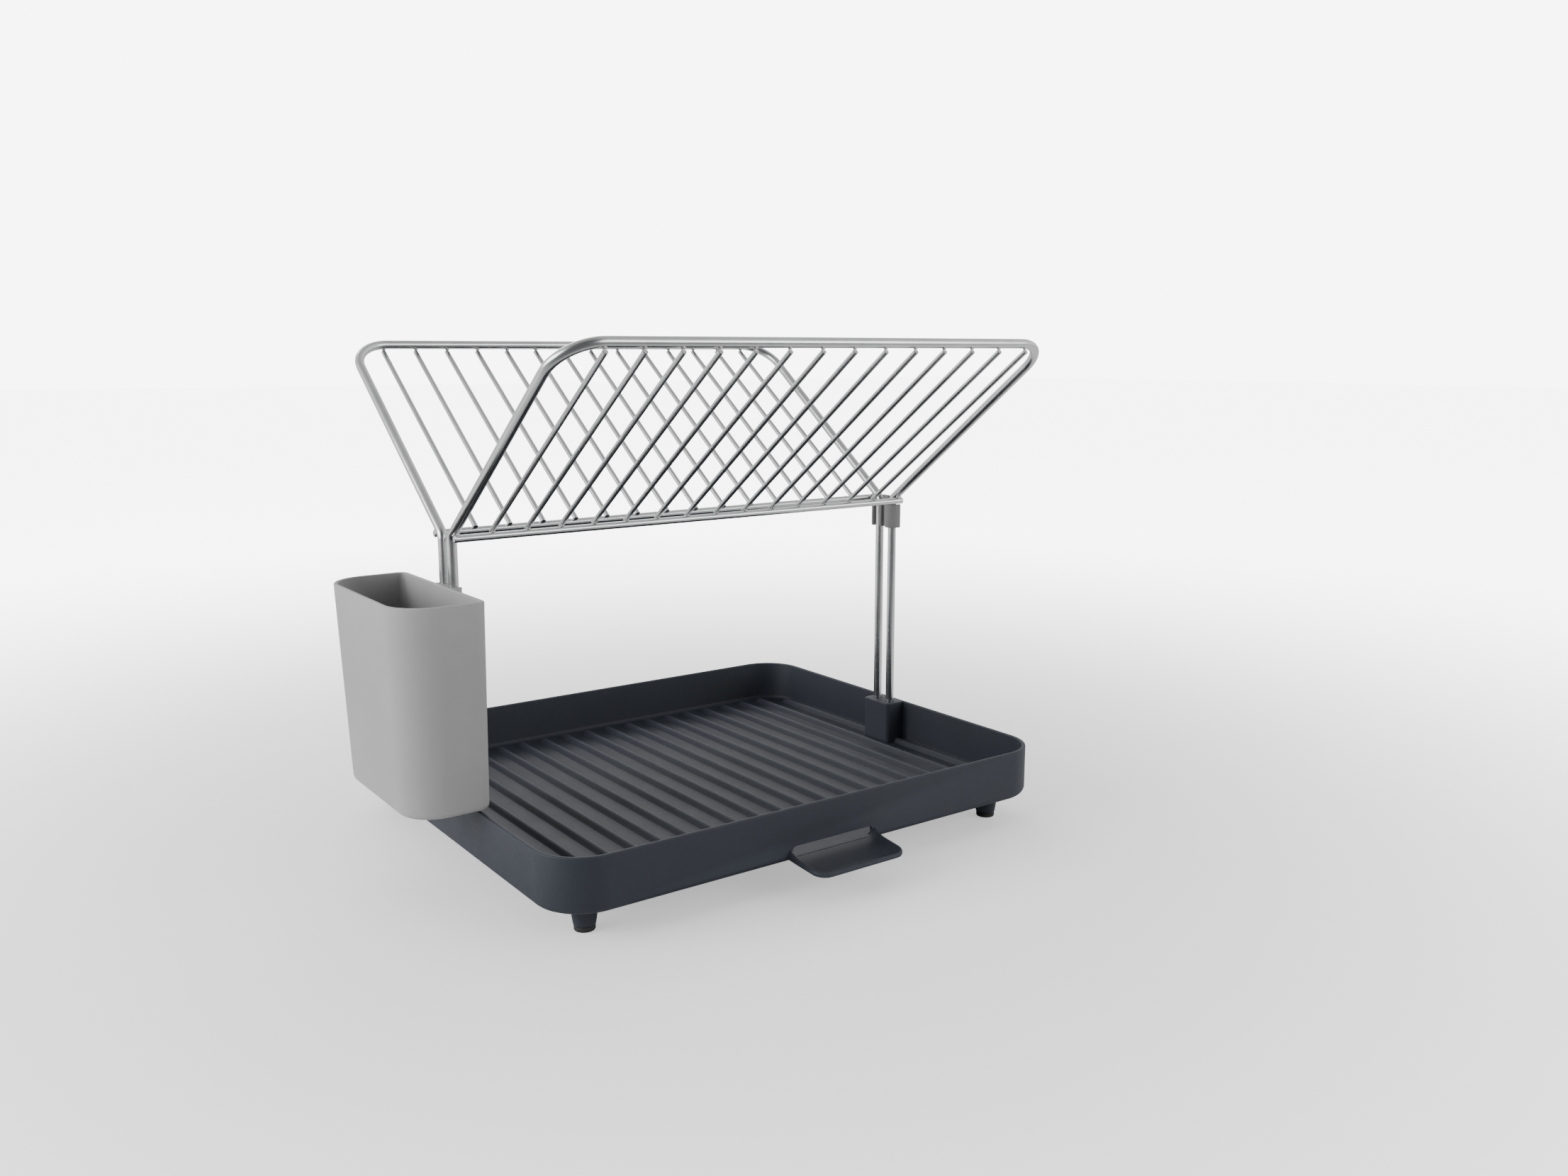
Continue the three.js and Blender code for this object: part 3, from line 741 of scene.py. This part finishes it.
def build_holder():
    """The cup, tapered to its bottom, with the bracket whose two channels grip the left legs."""
    low, high = local_box("cutlery_holder")
    top, bottom = high.z, low.z
    wall = HOLDER_WALL
    inner_x = -LEG_X - BAR_RADIUS - SEAT_GAP
    depth = inner_x - low.x
    half = (high.y - low.y) / 2

    def ring(inset, z):
        drop = (top - z) / (top - bottom)
        narrow = 1 - drop * HOLDER_SIDE_DRAFT / half
        shallow = 1 - drop * HOLDER_DEPTH_DRAFT / depth
        corner = Vector((low.x + inset, -half + inset))
        far = Vector((inner_x - inset, half - inset))
        radii = (HOLDER_OUTER_CORNER - inset, HOLDER_INNER_CORNER - inset)
        flat = rounded_ring(corner, far, radii, z, steps=16)
        return [Vector((inner_x + (p.x - inner_x) * shallow, p.y * narrow, z)) for p in flat]

    edge, rim, cove = 4.5 * MM, 0.8 * MM, 2.1 * MM
    rings = []
    for angle in quarter(8):
        rings.append(ring(edge * (1 - math.sin(angle)), bottom + edge * (1 - math.cos(angle))))
    for k in range(1, 6):
        rings.append(ring(0, bottom + edge + (top - rim - bottom - edge) * k / 6))
    for angle in quarter(5):
        rings.append(ring(rim * (1 - math.cos(angle)), top - rim * (1 - math.sin(angle))))
    for angle in quarter(5):
        rings.append(ring(wall - rim * (1 - math.sin(angle)), top - rim * (1 - math.cos(angle))))
    for k in range(1, 6):
        rings.append(ring(wall, top - rim - (top - rim - bottom - wall - cove) * k / 6))
    for angle in quarter(5):
        rings.append(ring(wall + cove * (1 - math.cos(angle)), bottom + wall + cove * (1 - math.sin(angle))))
    bm = bmesh.new()
    loft(bm, rings)

    channel = BAR_RADIUS + SEAT_GAP
    reach = high.x
    outer = LEG_Y + channel + BRACKET_WALL
    tip = BRACKET_CORNER
    upper = [Vector((inner_x - wall / 2, outer))]
    upper += reversed(arc_points(reach - tip, outer - tip, tip, 0, 90, 5))
    upper += [Vector((reach, LEG_Y + channel)), Vector((-LEG_X, LEG_Y + channel))]
    upper += arc_points(-LEG_X, LEG_Y, channel, 90, 270, 16)[1:]
    upper += [Vector((reach, LEG_Y - channel))]
    lower = [Vector((p.x, -p.y)) for p in reversed(upper)]
    prism(bm, [*reversed(upper + lower)], top - BRACKET_HEIGHT, top, 0.4 * MM)
    settle(
        finish_mesh(bm, "cutlery_holder_moulding", plastics["holder"]),
        "cutlery_holder",
        "holder_plastic",
        "cutlery_holder",
    )


# ---- Room ----

FRONT_LEFT = (-0.53, -0.85, 0)
# Colour of the floor's painted dark reflection, seen in glossy rays only.
PAINTED_DARK_REFLECTION = (0.14, 0.14, 0.145)
BACKDROP_WHITE = (5.5, 5.5, 5.5)


def build_floor():
    """A wide pale floor with a painted glow, dimmer near the rack and rising to the studio's white far out.
    Its near side gives a painted dark reflection in glossy rays.
    """
    bm = bmesh.new()
    bmesh.ops.create_grid(bm, x_segments=8, y_segments=8, size=12)
    material, tree, shader, node = new_material("pale_floor")
    place = node("ShaderNodeTexCoord").outputs["Object"]
    cloud = node("ShaderNodeTexNoise", Vector=place, Scale=2.0, Detail=3.0)
    pale = ramp(node, cloud.outputs["Fac"], [(0.3, (0.84, 0.84, 0.84)), (0.7, (0.87, 0.87, 0.87))])
    # Painted dark reflection: in glossy rays the floor's near front-left side turns dark, so steel and
    # plastic mirror a dark floor there.
    towards = node("ShaderNodeVectorMath", Vector=place)
    towards.operation = "DOT_PRODUCT"
    towards.inputs[1].default_value = FRONT_LEFT
    side = node("ShaderNodeMapRange", Value=towards.outputs["Value"])
    side.inputs["From Min"].default_value = 0.05
    side.inputs["From Max"].default_value = 0.5
    rays = node("ShaderNodeLightPath")
    painted_reflection_mask = combined(tree, "MULTIPLY", side.outputs["Result"], rays.outputs["Is Glossy Ray"])
    tone = towards_tint(tree, painted_reflection_mask, pale, PAINTED_DARK_REFLECTION)
    tree.links.new(tone, shader.inputs["Base Color"])
    shader.inputs["Roughness"].default_value = 0.75
    shader.inputs["Specular IOR Level"].default_value = 0.2
    # Painted glow: camera rays see the floor glow, dimmer near the rack and rising to the studio's white far
    # out.
    distance = node("ShaderNodeVectorMath", Vector=place)
    distance.operation = "LENGTH"
    painted_glow_falloff = node("ShaderNodeMapRange", Value=distance.outputs["Value"])
    painted_glow_falloff.interpolation_type = "SMOOTHSTEP"
    painted_glow_falloff.inputs["From Min"].default_value = 0.25
    painted_glow_falloff.inputs["From Max"].default_value = 1.5
    painted_glow_falloff.inputs["To Min"].default_value = 0.55
    painted_glow_falloff.inputs["To Max"].default_value = 6.0
    painted_glow = combined(tree, "MULTIPLY", painted_glow_falloff.outputs["Result"], rays.outputs["Is Camera Ray"])
    tree.links.new(painted_glow, shader.inputs["Emission Strength"])
    shader.inputs["Emission Color"].default_value = (1, 1, 1, 1)
    floor = finish_mesh(bm, "floor", material)
    floor.location = (0, 0, -0.0002)


def soft_light(name, place, size, watts):
    """A square soft box that faces the rack."""
    light = bpy.data.lights.new(name, "AREA")
    light.shape = "RECTANGLE"
    light.size, light.size_y = size
    light.energy = watts
    lamp = bpy.data.objects.new(name, light)
    bpy.context.scene.collection.objects.link(lamp)
    lamp.location = place
    aim = Vector((0, 0, 0.12)) - Vector(place)
    lamp.rotation_euler = aim.to_track_quat("-Z", "Y").to_euler()


def build_sky():
    """A pale studio all round, darker on the side that faces the rack's front left corner."""
    world = bpy.data.worlds.new("studio")
    bpy.context.scene.world = world
    world.use_nodes = True
    tree = world.node_tree
    background = tree.nodes["Background"]
    coordinates = tree.nodes.new("ShaderNodeTexCoord")
    lobe = tree.nodes.new("ShaderNodeVectorMath")
    lobe.operation = "DOT_PRODUCT"
    lobe.inputs[1].default_value = Vector((-0.45, -0.85, 0.25)).normalized()
    tree.links.new(coordinates.outputs["Generated"], lobe.inputs[0])
    shade = tree.nodes.new("ShaderNodeValToRGB")
    shade.color_ramp.elements[0].position = 0.3
    shade.color_ramp.elements[0].color = (1, 1, 1, 1)
    shade.color_ramp.elements[1].position = 0.85
    shade.color_ramp.elements[1].color = (0.13, 0.13, 0.135, 1)
    tree.links.new(lobe.outputs["Value"], shade.inputs["Fac"])
    height = tree.nodes.new("ShaderNodeSeparateXYZ")
    tree.links.new(coordinates.outputs["Generated"], height.inputs["Vector"])
    top = tree.nodes.new("ShaderNodeMapRange")
    top.inputs["From Min"].default_value = 0.35
    top.inputs["From Max"].default_value = 1.0
    top.inputs["To Min"].default_value = 1.0
    top.inputs["To Max"].default_value = 0.45
    tree.links.new(height.outputs["Z"], top.inputs["Value"])
    dome = tree.nodes.new("ShaderNodeVectorMath")
    dome.operation = "SCALE"
    tree.links.new(shade.outputs["Color"], dome.inputs["Vector"])
    tree.links.new(top.outputs["Result"], dome.inputs["Scale"])
    rays = tree.nodes.new("ShaderNodeLightPath")
    shown = towards_tint(tree, rays.outputs["Is Camera Ray"], dome.outputs["Vector"], BACKDROP_WHITE)
    tree.links.new(shown, background.inputs["Color"])
    background.inputs["Strength"].default_value = 1.35


def build_camera():
    """The camera stands low at the rack's front left, 0.87 m from its middle."""
    data = bpy.data.cameras.new("camera")
    data.sensor_width = 36
    data.lens = 30.07
    camera = bpy.data.objects.new("camera", data)
    bpy.context.scene.collection.objects.link(camera)
    camera.location = CENTRE + Vector((-460.3, -737.9, 311.0)) * MM
    camera.rotation_euler = (math.radians(90 - 10.2), math.radians(0.02), math.radians(-36.03))
    bpy.context.scene.camera = camera


# ---- Materials ----

# The third colour of each set is the lighter edge tone: partly wear, partly a painted highlight.
slate, slate_light, slate_edge_wear_and_highlight = (0.018, 0.021, 0.029), (0.022, 0.026, 0.036), (0.034, 0.04, 0.052)
rubber, rubber_light, rubber_edge_wear_and_highlight = (0.008, 0.008, 0.009), (0.013, 0.013, 0.014), (0.03, 0.03, 0.03)


def grey(level):
    """A neutral colour."""
    return (level, level, level)


# The last colour given to each plastic is its lighter edge tone: partly wear, partly a painted highlight.
plastics = {
    "tray": moulded_plastic("slate_plastic", slate, slate_light, 0.56, 0.35, slate_edge_wear_and_highlight),
    "holder": moulded_plastic("light_grey_plastic", grey(0.26), grey(0.29), 0.56, 0.3, grey(0.36)),
    "clip": moulded_plastic("mid_grey_plastic", grey(0.13), grey(0.16), 0.5, 0.3, grey(0.2)),
    "rubber": moulded_plastic("black_rubber", rubber, rubber_light, 0.75, 0.6, rubber_edge_wear_and_highlight),
}
steels = {
    "bar": drawn_steel("polished_bar", 14.0, 0.25),
    "wire": drawn_steel("polished_wire", 20.0, 0.27),
    "weld": heat_tinted_steel("weld_skin"),
}

# ---- Scene ----

build_camera()
build_tray()
build_pads()
build_wing("front", 1)
build_wing("rear", -1)
build_clip()
build_holder()
build_floor()
build_sky()
soft_light("key", (-1.9, 0.3, 0.75), (1.6, 1.1), 44)
soft_light("fill", (0.9, -1.7, 0.7), (1.4, 1.0), 15)
soft_light("back", (0.4, 1.8, 1.6), (1.8, 0.9), 16)
